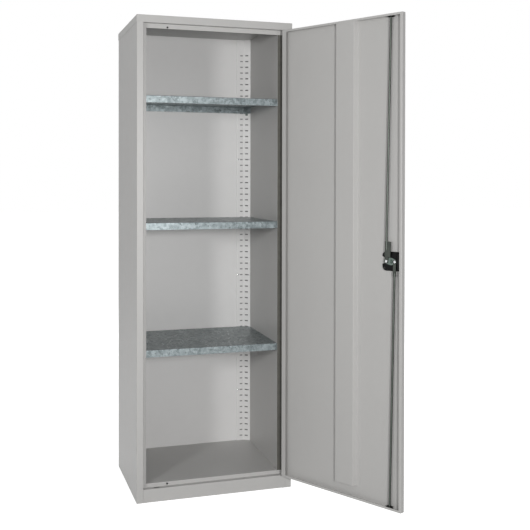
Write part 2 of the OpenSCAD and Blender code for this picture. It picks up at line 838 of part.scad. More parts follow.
// Shouldered rivets that join the rods to the cam
module cam_pins() {
    color("silver") on_door() for (x = [-throw, throw])
        facing_back(lock_a + x, cam_b, lock_z) {
            cylinder(r = rod_pin_r, h = cam_t + rod_end_t + 2 * free);
            translate([0, 0, cam_t + rod_end_t + 2 * free]) rotate_extrude() polygon([
                [0, 0], [rod_pin_r + 2, 0], [rod_pin_r + 1.6, pin_flange], [0, pin_flange]
            ]);
        }
}

// Puts a rod drawn upwards from its pin at the origin, height into the locker, on its pin with its tilt
module on_rod_pin(x, tilt) {
    on_door() translate([lock_a + x, rod_b, lock_z]) rotate([0, -tilt, 0]) children();
}

// Round bar from the neck to the tip, with a bevelled tip
module rod_bar(length) {
    bevel = 1.2;
    translate([0, 0, neck]) rotate_extrude() polygon([
        [0, 0], [rod_r, 0], [rod_r, length - neck - bevel], [rod_r - bevel, length - neck], [0, length - neck]
    ]);
}

// Length of a rod from its pin to a tip at the height reached beyond the end of the door
function rod_length(height, tilt) = height / cos(tilt);

module flat_end() {
    rotate([90, 0, 0]) linear_extrude(height = rod_end_t, center = true) difference() {
        children();
        circle(rod_pin_r + fit);
    }
}

// The upper rod ends in a wide plate that stands above the cam
module upper_rod() {
    color("silver") on_rod_pin(throw, upper_tilt) {
        rod_bar(rod_length(door_top + rod_stub - lock_z, upper_tilt));
        flat_end() {
            circle(eye_r);
            translate([-eye_r, 0]) square([eye_r + 6, 20]);
            translate([6 - plate_w, 14]) square([plate_w, plate_top - 14]);
        }
    }
}

module lower_rod() {
    color("silver") on_rod_pin(-throw, lower_tilt) rotate([0, 180, 0]) {
        rod_bar(rod_length(lock_z - door_z + rod_stub, lower_tilt));
        flat_end() {
            circle(eye_r);
            translate([-6, 0]) square([12, neck + 12]);
        }
    }
}

module lock_barrel() {
    key_l = 8;
    key_w = 2;
    color("silver") on_door() facing_front(lock_a, hub_front + barrel_h, lock_z) difference() {
        rotate_extrude() polygon([
            [0, 0], [barrel_r, 0], [barrel_r, barrel_h + barrel_proud - 0.6],
            [barrel_r - 0.6, barrel_h + barrel_proud], [0, barrel_h + barrel_proud]
        ]);
        translate([-key_w / 2, -key_l / 2, barrel_h + barrel_proud - 9]) cube([key_w, key_l, 10]);
    }
}

top_cap();
left_side_panel();
right_side_panel();
back_panel();
base_pan();
header_rail();
rod_keeper();
left_rear_upright();
right_rear_upright();
left_front_upright();
right_front_upright();
upper_shelf();
middle_shelf();
lower_shelf();
upper_shelf_clips();
middle_shelf_clips();
lower_shelf_clips();
upright_rivets();
door_buffers();
hinge_frame_leaves();
hinge_pins();
hinge_door_leaves();
door_skin();
door_stiffener();
top_rod_guide();
bottom_rod_guide();
lock_housing();
housing_screws();
handle_rose();
handle_grip();
handle_spindle();
lock_cam();
cam_nut();
cam_pins();
upper_rod();
lower_rod();
lock_barrel();
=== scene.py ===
# %% [markdown]
# # A steel locker with its door open
# The imported CAD model brings every piece at its real size and place. This script gives each of them its
# finish, puts softer mouldings in place of the plain solids of the lock, adds a dark strip of painted shade
# in the hinge-side rebate and two inner side sheets, and sets the light and the camera.

# %% Load the frame
import json

import bmesh
import bpy
import numpy as np
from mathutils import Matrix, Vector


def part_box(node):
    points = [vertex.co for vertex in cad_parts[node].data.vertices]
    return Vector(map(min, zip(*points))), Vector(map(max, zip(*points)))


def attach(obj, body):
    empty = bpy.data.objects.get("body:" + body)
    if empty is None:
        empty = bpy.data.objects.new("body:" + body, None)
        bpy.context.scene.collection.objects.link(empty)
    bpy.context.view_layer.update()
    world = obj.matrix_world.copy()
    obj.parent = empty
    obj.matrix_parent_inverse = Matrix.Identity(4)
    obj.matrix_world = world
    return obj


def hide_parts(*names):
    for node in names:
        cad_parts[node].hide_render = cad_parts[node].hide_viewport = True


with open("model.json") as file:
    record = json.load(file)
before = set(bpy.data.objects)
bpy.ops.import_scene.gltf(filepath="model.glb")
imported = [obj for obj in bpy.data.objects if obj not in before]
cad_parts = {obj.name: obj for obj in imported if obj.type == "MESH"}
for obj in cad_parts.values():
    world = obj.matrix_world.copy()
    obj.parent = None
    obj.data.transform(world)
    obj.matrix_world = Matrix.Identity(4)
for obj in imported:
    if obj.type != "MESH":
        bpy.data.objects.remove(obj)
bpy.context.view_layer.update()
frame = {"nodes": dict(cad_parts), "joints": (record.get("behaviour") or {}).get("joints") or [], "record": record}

MM = 0.001

# %% [markdown]
# ## Sums inside a finish
# A finish is a small network of nodes. Writing it node by node hides what it says, so one class lets a
# socket stand in an ordinary sum, and each + or * adds the Math node that does it.

# %% A wire that can stand in a sum


class Wire:
    """A socket inside a network of nodes. Arithmetic on it adds the Math node that does the same sum."""

    def __init__(self, network, socket):
        self.network = network
        self.socket = socket

    def maths(self, operation, first, second):
        return self.network.add("ShaderNodeMath", {"operation": operation}, {0: first, 1: second})

    def __add__(self, other):
        return self.maths("ADD", self, other)

    def __sub__(self, other):
        return self.maths("SUBTRACT", self, other)

    def __rsub__(self, other):
        return self.maths("SUBTRACT", other, self)

    def __mul__(self, other):
        return self.maths("MULTIPLY", self, other)

    def __gt__(self, other):
        return self.maths("GREATER_THAN", self, other)

    __radd__ = __add__
    __rmul__ = __mul__


# %% A network, and one method that adds any node


class Network:
    """The nodes of a finish or of the world."""

    def __init__(self, tree):
        self.tree = tree

    def feed(self, socket, value):
        if isinstance(value, Wire):
            self.tree.links.new(value.socket, socket)
        else:
            socket.default_value = value

    def add(self, kind, settings, sockets, output=0):
        """Adds a node of that kind: its settings first, then the values or wires of its sockets."""
        node = self.tree.nodes.new(kind)
        for name, value in settings.items():
            setattr(node, name, value)
        for name, value in sockets.items():
            self.feed(node.inputs[name], value)
        return Wire(self, node.outputs[output])

    def background_seen(self):
        """1 for a ray that looks at the background: from the camera, off a shiny face or through glass."""
        ways = ("Is Camera Ray", "Is Glossy Ray", "Is Transmission Ray")
        direct, mirrored, through = [self.add("ShaderNodeLightPath", {}, {}, way) for way in ways]
        return direct + mirrored + through


# %% A finish


class Finish(Network):
    """A named material: one Principled shader, and the nodes that vary it over the surface."""

    def __init__(self, name, **plain):
        self.material = bpy.data.materials.new(name)
        self.material.use_nodes = True
        super().__init__(self.material.node_tree)
        self.shader = next(n for n in self.tree.nodes if n.type == "BSDF_PRINCIPLED")
        for socket, value in plain.items():
            self.shader.inputs[socket.replace("_", " ")].default_value = value
        self.place = self.add("ShaderNodeTexCoord", {}, {}, "Object")

    def noise(self, scale, detail, place=None):
        sockets = {"Vector": place or self.place, "Scale": scale, "Detail": detail}
        return self.add("ShaderNodeTexNoise", {}, sockets)

    def stretched(self, x, y, z):
        """The place of a point with each direction scaled, for patterns that run one way."""
        return self.add("ShaderNodeMapping", {}, {"Vector": self.place, "Scale": (x, y, z)})

    def between(self, share, dark, light):
        """The colour that lies that share of the way from dark to light; each end is a colour or a wire."""
        low, high = [end if isinstance(end, Wire) else (*end, 1) for end in (dark, light)]
        return self.add("ShaderNodeMix", {"data_type": "RGBA"}, {"Factor": share, 6: low, 7: high}, 2)

    def along(self, axis):
        """How far a point lies along X, Y or Z."""
        return self.add("ShaderNodeSeparateXYZ", {}, {"Vector": self.place}, axis)

    def bump(self, height, depth, strength):
        """Feeds the shader's normal with a relief of that depth in metres."""
        wire = self.add("ShaderNodeBump", {}, {"Height": height, "Distance": depth, "Strength": strength})
        self.feed(self.shader.inputs["Normal"], wire)

    def vary(self, **sockets):
        for name, value in sockets.items():
            self.feed(self.shader.inputs[name.replace("_", " ")], value)


def srgb(r, g, b):
    """A colour read off a screen, 0 to 255, as the linear light that Blender reckons in."""
    return tuple(float(((c / 255 + 0.055) / 1.055) ** 2.4) for c in (r, g, b))


def scaled(colour, factor):
    return tuple(min(1.0, c * factor) for c in colour)


print("half of a screen's white is", round(srgb(128, 128, 128)[0], 3), "of its light")

# %% [markdown]
# ## Powder coat
# The carcass and door are sheet steel with a light grey powder coat. Baked powder flows out into a faint
# orange-peel skin about a millimetre across, so fine noise feeds the relief. Slow noise shifts the tone a
# little, because a sprayed film is never quite even, and the gloss wanders with it. A picture of paint
# could do the same, but it would show its edges and repeats on a face as large as the door.
#
# The uprights stand a few millimetres off the sheets behind them. Those sheets take painted shade there,
# which is why the slots of the uprights read as dark dashes. A product of comparisons on the object's
# own coordinates, 1 on the hidden faces and 0 elsewhere, marks where.

# %% Painted shade on the sheet behind the rear uprights
upright_low, upright_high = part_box("right_rear_upright")
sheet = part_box("right_side_panel")[1][0] - upright_high[0]
print("sheet", round(sheet / MM, 2), "mm thick, hidden from", round(upright_low[0], 4), "m off the middle")


def painted_shade_behind_uprights(finish):
    """Painted shade, 1 on the sheets behind the uprights and 0 elsewhere. Back face: |x| > upright's inner
    edge and y within the back's front skin. Side face: |x| within the side's inner skin and y behind the
    upright's front edge. Each skin is half a sheet to either side."""
    across = finish.add("ShaderNodeMath", {"operation": "ABSOLUTE"}, {0: finish.along("X")})
    deep = finish.along("Y")
    on_back = (across > upright_low[0] + sheet) * (deep > upright_high[1] - sheet / 2)
    before_rear = 1.0 - (deep > upright_high[1] + sheet / 2)
    on_side = (across > upright_high[0] - sheet / 2) * (deep > upright_low[1] + 2 * sheet)
    before_outside = 1.0 - (across > upright_high[0] + sheet / 2)
    return on_back * before_rear * before_outside + on_side * before_outside * before_rear


# %% Powder coat in two greys


def powder_coat(name, colour, roughness=0.42):
    """Tone: 0.7 of the slow noise and 0.3 of the film's, over 4.5 % to either side of the colour. Painted
    shade: the sheet hidden behind the uprights goes four fifths of the way to a shade of 16 %."""
    finish = Finish(name, Metallic=0.0, IOR=1.5)
    slow = finish.noise(2.3, 3.0)
    film = finish.noise(38.0, 2.0)
    tone = slow * 0.7 + film * 0.3
    peel = finish.noise(720.0, 1.0)
    coat = finish.between(tone, scaled(colour, 0.955), scaled(colour, 1.045))
    # Painted shade: the sheets behind the uprights go four fifths of the way to a dark grey.
    hidden, shade = painted_shade_behind_uprights(finish) * 0.8, scaled(colour, 0.16)
    finish.vary(
        Base_Color=finish.between(hidden, coat, shade),
        Roughness=film * 0.12 + (roughness - 0.06),
    )
    finish.bump(peel + film * 0.6, 0.05 * MM, 0.35)
    return finish.material


light_grey = powder_coat("light_grey_powder_coat", srgb(183, 182, 180))
pale_grey = powder_coat("pale_grey_powder_coat", srgb(218, 217, 216), roughness=0.38)
print("powder coats:", light_grey.name, pale_grey.name)

# %% [markdown]
# ## Galvanised sheet
# The shelves are hot-dip galvanised. Zinc freezes into crystals about a centimetre across, each with its
# own tilt, so each throws back the light differently. Plain noise would give clouds without edges. A
# Voronoi pattern gives every crystal one value, and bending its coordinates with noise turns the straight
# cell walls into frosty ones.

# %% Galvanised sheet with spangle


def galvanised(name):
    """Tone: 0.45 of the large crystals, 0.25 of the small ones and 0.3 of a noise drawn out upwards."""
    finish = Finish(name, Metallic=0.72)
    sockets = {"Vector": finish.place, "Scale": 60.0, "Detail": 3.0}
    wander = finish.add("ShaderNodeTexNoise", {}, sockets, "Color")
    sockets = {"Factor": 0.012, 4: finish.place, 5: wander}
    bent = finish.add("ShaderNodeMix", {"data_type": "VECTOR"}, sockets, 1)
    crystal = finish.add("ShaderNodeTexVoronoi", {}, {"Vector": bent, "Scale": 110.0}, "Color")
    small = finish.add("ShaderNodeTexVoronoi", {}, {"Vector": bent, "Scale": 290.0}, "Color")
    tilt = finish.add("ShaderNodeSeparateColor", {}, {"Color": crystal}, "Red")
    gleam = finish.add("ShaderNodeSeparateColor", {}, {"Color": crystal}, "Green")
    fleck = finish.add("ShaderNodeSeparateColor", {}, {"Color": small}, "Red")
    feather = finish.noise(330.0, 2.0, finish.stretched(1.0, 1.0, 0.2))
    tone = tilt * 0.45 + fleck * 0.25 + feather * 0.3
    finish.vary(
        Base_Color=finish.between(tone, srgb(66, 75, 77), srgb(153, 162, 164)),
        Roughness=gleam * 0.22 + 0.26,
    )
    finish.bump(tilt * 0.6 + feather * 0.4, 0.12 * MM, 0.5)
    return finish.material


spangle = galvanised("galvanised_sheet")
print("galvanised sheet:", spangle.name)

# %% [markdown]
# ## Zinc plate, black nylon, rubber and plated brass
# The rods, cam and hinges are zinc plated and lightly passivated, which leaves a cool green-grey metal
# with drawing marks along the bar. The rods take a darker copy of it, as painted shade. The lock housing
# and guides are moulded nylon with a fine grain. Each kind could be one flat colour at this size. A little
# noise in tone, gloss and relief keeps them true when someone looks closer.

# %% The small fittings


def zinc_plate(name, dark, light):
    """Tone: half a noise drawn out upwards, half clouds; the drawn noise is also the relief."""
    finish = Finish(name, Metallic=1.0)
    drawn = finish.noise(260.0, 2.0, finish.stretched(1.0, 1.0, 0.04))
    cloud = finish.noise(45.0, 3.0)
    finish.vary(
        Base_Color=finish.between(drawn * 0.5 + cloud * 0.5, dark, light),
        Roughness=cloud * 0.18 + 0.34,
    )
    finish.bump(drawn, 0.05 * MM, 0.5)
    return finish.material


def moulded(name, colour, roughness, grain, depth, shine):
    """Tone and roughness follow one soft noise; the grain of the mould is the relief."""
    finish = Finish(name, Metallic=0.0, IOR=1.5, Specular_IOR_Level=shine)
    texture = finish.noise(grain, 2.0)
    sheen = finish.noise(50.0, 2.0)
    finish.vary(
        Base_Color=finish.between(sheen, scaled(colour, 0.8), scaled(colour, 1.3)),
        Roughness=sheen * 0.15 + (roughness - 0.07),
    )
    finish.bump(texture, depth, 0.6)
    return finish.material


def plated(name):
    """Tone and roughness follow a haze; faint turning marks are the relief."""
    finish = Finish(name, Metallic=1.0)
    haze = finish.noise(160.0, 3.0)
    ring = finish.noise(900.0, 1.0, finish.stretched(1.0, 0.1, 1.0))
    finish.vary(
        Base_Color=finish.between(haze, srgb(196, 198, 200), srgb(226, 227, 228)),
        Roughness=haze * 0.12 + 0.1,
    )
    finish.bump(ring, 0.02 * MM, 0.4)
    return finish.material


zinc = zinc_plate("zinc_plate", srgb(74, 87, 82), srgb(134, 146, 140))
# Painted shade: the rods take the zinc plate darkened.
shaded_rods_zinc = zinc_plate("painted_shade_rods_plate", srgb(54, 58, 55), srgb(94, 98, 93))
black_nylon = moulded("black_nylon", srgb(8, 8, 8), 0.48, grain=1100.0, depth=0.04 * MM, shine=0.14)
black_steel = moulded("black_steel", srgb(18, 18, 17), 0.4, grain=500.0, depth=0.01 * MM, shine=0.4)
black_rubber = moulded("black_rubber", srgb(26, 26, 25), 0.75, grain=700.0, depth=0.06 * MM, shine=0.3)
lock_plating = plated("lock_plating")
print("fittings:", zinc.name, shaded_rods_zinc.name, black_nylon.name, black_steel.name, black_rubber.name)

# %% [markdown]
# ## Dressing the CAD nodes
# Every node of the frame keeps its own mesh and takes the finish that its slot in the record names. Three
# go by their name instead: the rods, in a copy of the zinc plate darkened as painted shade, and the bright
# rivets of the uprights.

# %% Each node takes the finish of its slot
by_slot = {
    "painted_steel": light_grey,
    "painted_inner": pale_grey,
    "galvanised_steel": spangle,
    "zinc_plate": zinc,
    "black_steel": black_steel,
    "black_plastic": black_nylon,
    "black_rubber": black_rubber,
    "chrome": lock_plating,
}
# Painted shade: the rods take the darkened copy of the zinc plate.
by_name = {"upright_rivets": lock_plating, "upper_rod": shaded_rods_zinc, "lower_rod": shaded_rods_zinc}
slot_of = {row["node"]: row["material_slot"] for row in frame["record"]["subparts"]}
for node_name, node in frame["nodes"].items():
    node.data.materials.clear()
    node.data.materials.append(by_name.get(node_name, by_slot[slot_of[node_name]]))
worn = {node.data.materials[0].name for node in frame["nodes"].values()}
print("dressed:", len(slot_of), "nodes in", len(worn), "finishes")

# %% [markdown]
# ## A place on the door
# The frame holds the door open, which makes it awkward to draw anything on it. The joint of the handle
# gives one point on the door and the way out of it. With up, and the direction square to both, that is a
# frame of the door's own: a piece is drawn there as if the door lay flat, and is then carried to where it
# stands. Turning a finished object would do that too, but a piece keeps its place in its own mesh.

# %% The door's own directions
joints = {row["name"]: row for row in frame["joints"]}
UP = np.array([0.0, 0.0, 1.0])
OUT = np.array(joints["handle_turn"]["axis"])
ACROSS = np.cross(UP, OUT)
LOCK = np.array(joints["handle_turn"]["pos_m"])


def from_door(points):
    """Places given as across, inwards and up from the lock, in metres, carried to where the door stands."""
    points = np.asarray(points, float)
    return LOCK + points[..., 0:1] * ACROSS - points[..., 1:2] * OUT + points[..., 2:3] * UP


def vertices_of(node_name):
    """The vertices of a CAD node, in metres, one to a row."""
    mesh = frame["nodes"][node_name].data
    flat = np.zeros(len(mesh.vertices) * 3, np.float32)
    mesh.vertices.foreach_get("co", flat)
    return flat.reshape(-1, 3)


def door_span(node_name):
    """The least and the most across, inwards and up that a CAD node on the door reaches."""
    away = vertices_of(node_name) - LOCK
    local = np.stack([away @ ACROSS, -(away @ OUT), away @ UP], axis=1)
    return local.min(0), local.max(0)


print("the door faces", OUT.round(3), "and the lock is at", LOCK.round(4))

# %% [markdown]
# ## Rings and skins
# The moulded pieces are all skins laid over rings: an outline is drawn in, pushed out and lifted step by
# step, and quads join each ring to the next. Sculpting or bevelling a box could give the same shapes, but
# rings keep the edges even and say in numbers how round each edge is.

# %% Outlines and the roundness of an edge


def evenly(points, count):
    """The same closed line with its points at even steps along its length."""
    loop = np.vstack([points, points[:1]])
    step = np.hypot(*np.diff(loop, axis=0).T)
    along = np.concatenate([[0.0], np.cumsum(step)])
    wanted = np.linspace(0.0, along[-1], count, endpoint=False)
    return np.stack([np.interp(wanted, along, loop[:, axis]) for axis in (0, 1)], axis=1)


def inward(points):
    """Unit vectors across a closed line that runs anticlockwise, each turned a quarter left of its step."""
    step = np.roll(points, -1, axis=0) - np.roll(points, 1, axis=0)
    return np.stack([-step[:, 1], step[:, 0]], axis=1) / np.hypot(*step.T)[:, None]


def eased(share, full):
    """A smooth step from 0 to full, level at both ends: full * (3 * share**2 - 2 * share**3)."""
    return full * share * share * (3 - 2 * share)


def rounded(radius, steps=5):
    """A round edge as pairs of how far in from the wall and how far below the top, from wall to top."""
    turn = np.linspace(0.0, np.pi / 2, steps)
    return [(radius * (1 - np.cos(t)), radius * (1 - np.sin(t))) for t in turn]


edge_steps = [(round(float(inset), 2), round(float(drop), 2)) for inset, drop in rounded(1.0)]
print("a round edge of 1 mm, in and down:", edge_steps)

# %% From rings to a closed skin


def skin(rings, endless):
    """Corners and faces over rings of points. An endless skin joins its last ring to its first; any other
    gets a fan from each end ring to the middle of that ring."""
    rows, around = rings.shape[:2]
    here = np.arange(rows if endless else rows - 1)[:, None] * around
    above = (here + around) % (rows * around)
    j = np.arange(around)[None, :]
    k = (j + 1) % around
    faces = [np.stack([here + j, here + k, above + k, above + j], axis=-1).reshape(-1, 4)]
    corners = rings.reshape(-1, 3)
    if not endless:
        first, last = len(corners), len(corners) + 1
        corners = np.vstack([corners, rings[0].mean(0), rings[-1].mean(0)])
        top = (rows - 1) * around
        faces.append(np.stack([k[0], j[0], np.full(around, first)], axis=-1))
        faces.append(np.stack([top + j[0], top + k[0], np.full(around, last)], axis=-1))
    return corners, faces


def prism(ring, bottom, top):
    """The closed skin of a plan outline carried from the bottom height to the top one."""
    plan = np.array([ring, ring], float)
    height = np.repeat([bottom, top], len(ring)).reshape(2, -1, 1)
    return skin(np.concatenate([plan, height], axis=2), False)


def make_piece(name, skins, finish, body, crease=32.0):
    """One object made of closed skins, with faces that point outwards and soft shading up to the crease."""
    corners, faces, start = [], [], 0
    for points, blocks in skins:
        corners.append(points)
        for block in blocks:
            faces += (block + start).tolist()
        start += len(points)
    mesh = bpy.data.meshes.new(name)
    mesh.from_pydata(np.vstack(corners).tolist(), [], faces)
    shape = bmesh.new()
    shape.from_mesh(mesh)
    bmesh.ops.recalc_face_normals(shape, faces=shape.faces)
    shape.to_mesh(mesh)
    shape.free()
    mesh.shade_smooth()
    mesh.set_sharp_from_angle(angle=float(np.radians(crease)))
    mesh.materials.append(finish)
    piece = bpy.data.objects.new(name, mesh)
    bpy.context.scene.collection.objects.link(piece)
    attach(piece, body)
    print(name, "has", len(mesh.polygons), "faces")
    return piece


# %% [markdown]
# ## The turn handle
# The handle is one moulding: a hub for the lock barrel and two wings that a hand turns. CAD needs only its
# size, so here it gets the soft edges and the faint crown of a moulding. Joining a cylinder to two boxes
# would leave seams where they meet. Its outline is the larger of the hub's circle and of the
# straight-sided link out to each round tip, worked out for every direction, so it is one surface.

# %% The handle's outline


def handle_outline(hub, waist, tip, reach, count):
    """For each direction, at an angle from the nearer wing: inside the tip's tangent point the far side of
    the tip's circle, then the straight side waist / cos(angle - lean), and everywhere at least the hub.
    The two are blended as the twelfth root of the sum of their twelfth powers."""
    angle = np.linspace(0.0, 2 * np.pi, 2880, endpoint=False)
    turn = np.abs((angle + np.pi / 2) % np.pi - np.pi / 2)
    lean = np.arccos((waist - tip) / reach)
    touch = np.arctan2(tip * np.sin(lean), reach + tip * np.cos(lean))
    far_side = reach * np.cos(turn) + np.sqrt(np.clip(tip**2 - (reach * np.sin(turn))**2, 0.0, None))
    straight = waist / np.cos(turn - lean)
    link = np.where(turn < touch, far_side, np.where(turn < lean, straight, waist))
    radius = (hub**12 + link**12) ** (1 / 12)
    return evenly(radius[:, None] * np.stack([np.cos(angle), np.sin(angle)], axis=1), count)


# %% The handle


def turn_handle(name, node_name, finish):
    """Rings from the back of the hub out under the wings, up over their soft edge, in across the crowned
    face and down the bore. A ring is an outline and its height over the back of the hub."""
    low, high = door_span(node_name)
    slack, waist_in, tip = 0.3 * MM, 1.5 * MM, 9.0 * MM
    hub = (high[0] - low[0]) / 2 - slack
    reach = (high[2] - low[2]) / 2 - tip - slack
    edge = handle_outline(hub, hub - waist_in, tip, reach, count=180)
    side = inward(edge)
    away = np.hypot(*edge.T)[:, None]
    ray = edge / away
    blend = 3 * MM
    wing = np.clip((away - hub) / blend, 0.0, 1.0)
    full = high[1] - low[1]
    wing_foot, wing_top = 4 * MM, 15 * MM
    foot_edge, neck, chamfer = 0.6 * MM, 0.4 * MM, 1.2 * MM
    soft, crown = 3.4 * MM, 0.5 * MM
    bore, bore_foot, bore_rim = 8.15 * MM, 1.8 * MM, 0.5 * MM

    def top(flat):
        """Height of the upper face: the wings', rising by a smooth step to the hub's over its rim."""
        rise = np.clip((hub + blend - np.hypot(*flat.T)) / blend, 0.0, 1.0)
        return wing_top + eased(rise, full - wing_top)

    rings = [
        (ray * (hub - foot_edge), 0.0), (ray * hub, foot_edge), (ray * hub, wing_foot - neck),
        (edge + side * wing * chamfer, wing_foot), (edge, wing_foot + wing[:, 0] * chamfer),
    ]
    for inset, drop in rounded(soft, steps=7):
        flat = edge + side * inset
        rings.append((flat, top(flat) - drop))
    rim = edge + side * soft
    for share in (0.12, 0.25, 0.4, 0.55, 0.7, 0.82, 0.92):
        flat = rim * (1 - share) + ray * (bore + bore_rim) * share
        swell = crown * wing[:, 0] * np.sin(np.pi * min(1.0, share * 1.4))
        rings.append((flat, np.minimum(top(flat) + swell, full)))
    rings += [(ray * (bore + bore_rim), full), (ray * bore, full - bore_rim), (ray * bore, bore_foot)]
    solid = np.stack([
        np.stack([flat[:, 1], high[1] - np.broadcast_to(height, len(flat)), flat[:, 0]], axis=1)
        for flat, height in rings
    ])
    piece = make_piece(name, [skin(from_door(solid), False)], finish, "handle")
    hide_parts(node_name)


turn_handle("turn_handle", "handle_grip", black_nylon)

# %% [markdown]
# ## The lock housing
# Behind the handle a black moulding seats the lock inside the door. It is a stepped plate with round
# corners, a notch on the hinge side between its two screws, and a raised wall on the side of the free
# edge. A bevelled block with cuts could pass for it, but every cut would need its own bevel. Here the
# plate is one endless skin that runs out over the back, up over the step and down the bore.

# %% The outline of a moulded plate


def rounded_box(width, height, corner, count):
    """A box outline with a quarter circle at each corner, run anticlockwise in even steps."""
    quarter = np.linspace(0.0, np.pi / 2, 16)
    middles = [(1, 1), (-1, 1), (-1, -1), (1, -1)]
    arcs = [
        np.stack([
            x * (width / 2 - corner) + corner * np.cos(quarter + number * np.pi / 2),
            y * (height / 2 - corner) + corner * np.sin(quarter + number * np.pi / 2),
        ], axis=1)
        for number, (x, y) in enumerate(middles)
    ]
    return evenly(np.vstack(arcs), count)


def notched(edge, width):
    """The outline drawn in on the hinge side: full depth in the middle, fading out by a smooth step."""
    middle, half = 3 * MM, 14 * MM
    fade, deep = 4 * MM, 9 * MM
    inside = np.clip((half - np.abs(edge[:, 1] - middle)) / fade, 0.0, 1.0)
    hinge_side = np.clip((edge[:, 0] - width / 2 + deep) / deep, 0.0, 1.0)
    drawn = edge.copy()
    drawn[:, 0] -= eased(inside, deep) * hinge_side
    return drawn


# %% The plate and its wall


def lock_moulding(name, node_name, finish):
    """The plate's rings run out from the bore over the back, up the side, in over the step and back to the
    bore. The wall's rings follow the part of the inner outline that lies near the free edge."""
    low, high = door_span(node_name)
    width, height = high[0] - low[0], high[2] - low[2]
    plate, corner = 8 * MM, 16 * MM
    step_top, step_in, step_soft = plate - 1.5 * MM, 2.5 * MM, 0.3 * MM
    wall_rise, wall_in, wall_root = 8 * MM, 27.5 * MM, 2 * MM
    bore, bore_rim, brim_in = 5.07 * MM, 0.4 * MM, 1.2 * MM
    edge = notched(rounded_box(width, height, corner, count=160), width)
    side = inward(edge)
    ray = edge / np.hypot(*edge.T)[:, None]
    rings = [(ray * bore, 0.0), (edge, 0.0)]
    rings += [(edge + side * inset, step_top - drop) for inset, drop in rounded(1.0 * MM)]
    rings.append((edge + side * (step_in - step_soft), step_top))
    rings.append((edge + side * step_in, step_top + step_soft))
    rings += [(edge + side * (step_in + inset), plate - drop) for inset, drop in rounded(0.9 * MM)]
    brim = edge + side * (step_in + brim_in)
    rings += [(brim * (1 - s) + ray * (bore + bore_rim) * s, plate) for s in (0.0, 0.3, 0.6, 0.85, 1.0)]
    rings.append((ray * bore, plate - bore_rim))

    def lifted(rows):
        """Rings of outline and height, set on the door with the plate's back where the CAD node has it."""
        return from_door(np.stack([
            np.stack([flat[:, 0], low[1] + np.full(len(flat), rise), flat[:, 1]], axis=1)
            for flat, rise in rows
        ]))

    inner = rounded_box(width - 2 * step_in, height - 2 * step_in, corner - step_in, count=400)
    crescent = evenly(inner[inner[:, 0] < -wall_in], count=120)
    across = inward(crescent)
    wall = [(crescent, plate - wall_root)]
    wall += [(crescent + across * inset, plate + wall_rise - drop) for inset, drop in rounded(1.4 * MM)]
    skins = [skin(lifted(rings), True), skin(lifted(wall), False)]
    piece = make_piece(name, skins, finish, "door")
    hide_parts(node_name)


lock_moulding("lock_moulding", "lock_housing", black_nylon)

# %% [markdown]
# ## The rivets of the rods
# Each rod turns on a shouldered rivet in the cam. CAD draws the heads flat; a set rivet ends in a low
# dome, and the dome is what catches a point of light. Half a squashed ball on a cylinder would do, in two
# pieces. A lathe does it in one: a profile of radius and height turned round its axis is one table of
# rings, with each end closed on the axis.

# %% Domed heads


def rivet_heads(name, node_name, joint_names, finish):
    """A profile up the shank, out under the head and over a quarter of an ellipse, turned all the way."""
    low, high = door_span(node_name)
    head = (high[2] - low[2]) / 2
    shoulder, set_in, dome = 2.1 * MM, 0.5 * MM, 1.15 * MM
    sides, steps = 32, 7
    shank, foot = head - shoulder, high[1] - dome
    rise = np.linspace(0.0, np.pi / 2, steps)[1:-1]
    profile = [(shank, low[1] + set_in), (shank, foot), (head, foot)]
    profile += [(head * np.cos(t), foot + dome * np.sin(t)) for t in rise]
    turn = np.linspace(0.0, 2 * np.pi, sides, endpoint=False)
    rings = np.stack([
        np.stack([radius * np.cos(turn), np.full(sides, height), radius * np.sin(turn)], axis=1)
        for radius, height in profile
    ])
    skins = []
    for joint_name in joint_names:
        away = np.array(joints[joint_name]["pos_m"]) - LOCK
        middle = np.array([away @ ACROSS, 0.0, away @ UP])
        skins.append(skin(from_door(rings + middle), False))
    piece = make_piece(name, skins, finish, "handle")
    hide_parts(node_name)


rivet_heads("rod_rivets", "cam_pins", ["upper_rod_pivot", "lower_rod_pivot"], lock_plating)

# %% [markdown]
# ## Painted shade in the hinge-side rebate
# A dark band runs down the hinge side of the opening, from the header to the base. It is drawn as a dark
# grey strip of painted shade with two legs: one on the stop flange, which reaches a little past its edge,
# and one on the wall of the post, which stops short of each hinge. One bent strip with cut-outs would
# follow the rebate more closely, but straight bars show the same faces. The places come from the
# vertices of the side panel itself.

# %% Where the rebate is


def clear_of(heights, bottom, top, margin):
    """The stretches between bottom and top that keep the margin from every cluster of heights."""
    apart = 60 * MM
    heights = np.sort(heights)
    split = np.flatnonzero(np.diff(heights) > apart)
    starts = np.concatenate([heights[:1], heights[split + 1]]) - margin
    ends = np.concatenate([heights[split], heights[-1:]]) + margin
    return list(zip(np.concatenate([[bottom], ends]), np.concatenate([starts, [top]])))


def bar(x0, x1, y0, y1, z0, z1):
    """A straight bar as one closed skin."""
    return prism([(x0, y0), (x1, y0), (x1, y1), (x0, y1)], z0, z1)


panel = vertices_of("right_side_panel")
panel_front = panel[:, 1].min()
stop_edge = panel[:, 0].min()
stop_face = panel[panel[:, 0] < stop_edge + 0.5 * MM][:, 1].min()
post_wall = panel[panel[:, 1] < (panel_front + stop_face) / 2][:, 0].min()
rebate = [round(float(value), 4) for value in (stop_edge, post_wall, stop_face)]
print("rebate from x", rebate[0], "to", rebate[1], "at y", rebate[2])

